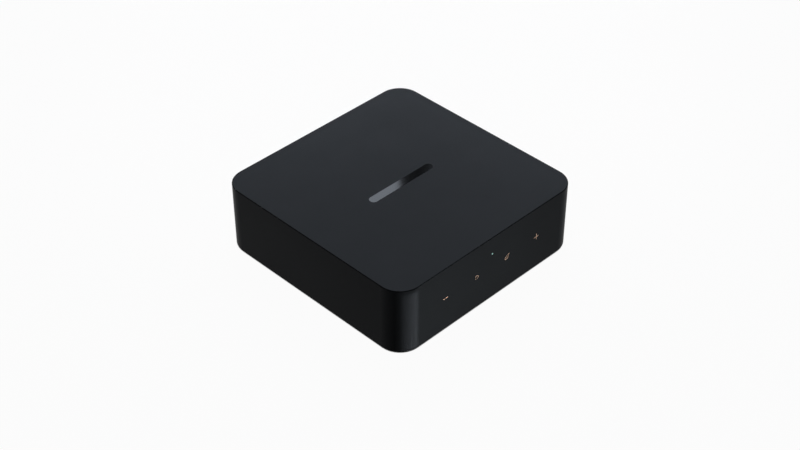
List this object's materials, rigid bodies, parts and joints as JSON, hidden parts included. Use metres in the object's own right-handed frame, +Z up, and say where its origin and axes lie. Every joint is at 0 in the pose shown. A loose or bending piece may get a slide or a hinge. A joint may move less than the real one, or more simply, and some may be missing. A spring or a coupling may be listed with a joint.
{
  "type": "network music streamer",
  "caption": "Compact square box that streams music from a network: touch keys in front, and audio, network and power sockets at the back.",
  "frame": {"origin": "under the middle of the rubber foot, on the surface that the streamer stands on", "axes": "+Z up, front with the touch keys towards -Y, sockets towards +Y"},
  "size_m": [0.14, 0.1459, 0.0428],
  "materials": {
    "case_plastic": "satin black moulding",
    "base_plastic": "matte black moulding",
    "rubber": "matte black rubber",
    "socket_plastic": "black moulding",
    "steel": "zinc-plated steel",
    "nickel": "nickel plate",
    "copper": "bright copper",
    "gold": "gold-plated contacts",
    "board": "green solder mask",
    "aluminium": "drawn aluminium",
    "thermal": "soft grey pad",
    "film": "clear adhesive film",
    "aerial_film": "amber flexible film",
    "lead_sleeve": "black sleeve",
    "chip": "black epoxy",
    "capacitor": "bright can",
    "ferrite": "dark ferrite",
    "white_plastic": "white moulding",
    "red_plastic": "red moulding",
    "amber_plastic": "orange moulding",
    "light_pipe": "lit clear moulding",
    "led": "clear epoxy",
    "lens": "red-lit lens"
  },
  "bodies": {
    "streamer": {"housing": "case_plastic", "base_cover": "base_plastic", "rubber_foot": "rubber", "case_screws": "steel", "rear_panel": "case_plastic", "ballast_plate": "steel", "main_board": "board", "board_screws": "steel", "radio_module": "board", "module_shield": "nickel", "thermal_pad": "thermal", "heat_sink": "aluminium", "aerials": "aerial_film", "aerial_leads": "lead_sleeve", "chips": "chip", "capacitors": "capacitor", "inductors": "ferrite", "oscillators": "nickel", "touch_board": "board", "touch_film": "film", "touch_pads": "copper", "status_led": "led", "light_pipe": "light_pipe", "ribbon_cable": "white_plastic", "ribbon_sockets": "white_plastic", "line_jack_block": "socket_plastic", "line_jack_barrels": "nickel", "line_jack_white_inserts": "white_plastic", "line_jack_red_inserts": "red_plastic", "line_jack_contacts": "gold", "coax_jack_block": "socket_plastic", "coax_jack_barrel": "nickel", "coax_jack_insert": "amber_plastic", "coax_jack_contact": "gold", "optical_out_socket": "socket_plastic", "optical_out_emitter": "lens", "optical_in_socket": "socket_plastic", "optical_in_receiver": "led", "trigger_jack": "socket_plastic", "trigger_contact": "nickel", "lan_shield": "nickel", "lan_insert": "socket_plastic", "lan_contact_row": "gold", "lan_lights": "amber_plastic", "power_socket_shell": "nickel", "power_socket_tongue": "socket_plastic", "reset_switch": "socket_plastic"},
    "optical_out_door": {"optical_out_shutter": "socket_plastic"},
    "optical_in_door": {"optical_in_shutter": "socket_plastic"},
    "reset_plunger": {"reset_button": "socket_plastic"}
  },
  "joints": [
    {"name": "optical_out_swing", "type": "hinge", "parent": "streamer", "child": "optical_out_door", "pos_m": [0.0055, 0.0689, 0.0187], "axis": [-1, 0, 0], "range_deg": [0, 85], "stiffness_Nm_per_rad": 0.0001, "springref_deg": -20.05},
    {"name": "optical_in_swing", "type": "hinge", "parent": "streamer", "child": "optical_in_door", "pos_m": [-0.0057, 0.0689, 0.0187], "axis": [-1, 0, 0], "range_deg": [0, 85], "stiffness_Nm_per_rad": 0.0001, "springref_deg": -20.05},
    {"name": "reset_press", "type": "slide", "parent": "streamer", "child": "reset_plunger", "axis": [0, -1, 0], "range_m": [0, 0.0004], "stiffness_N_per_m": 600}
  ]
}
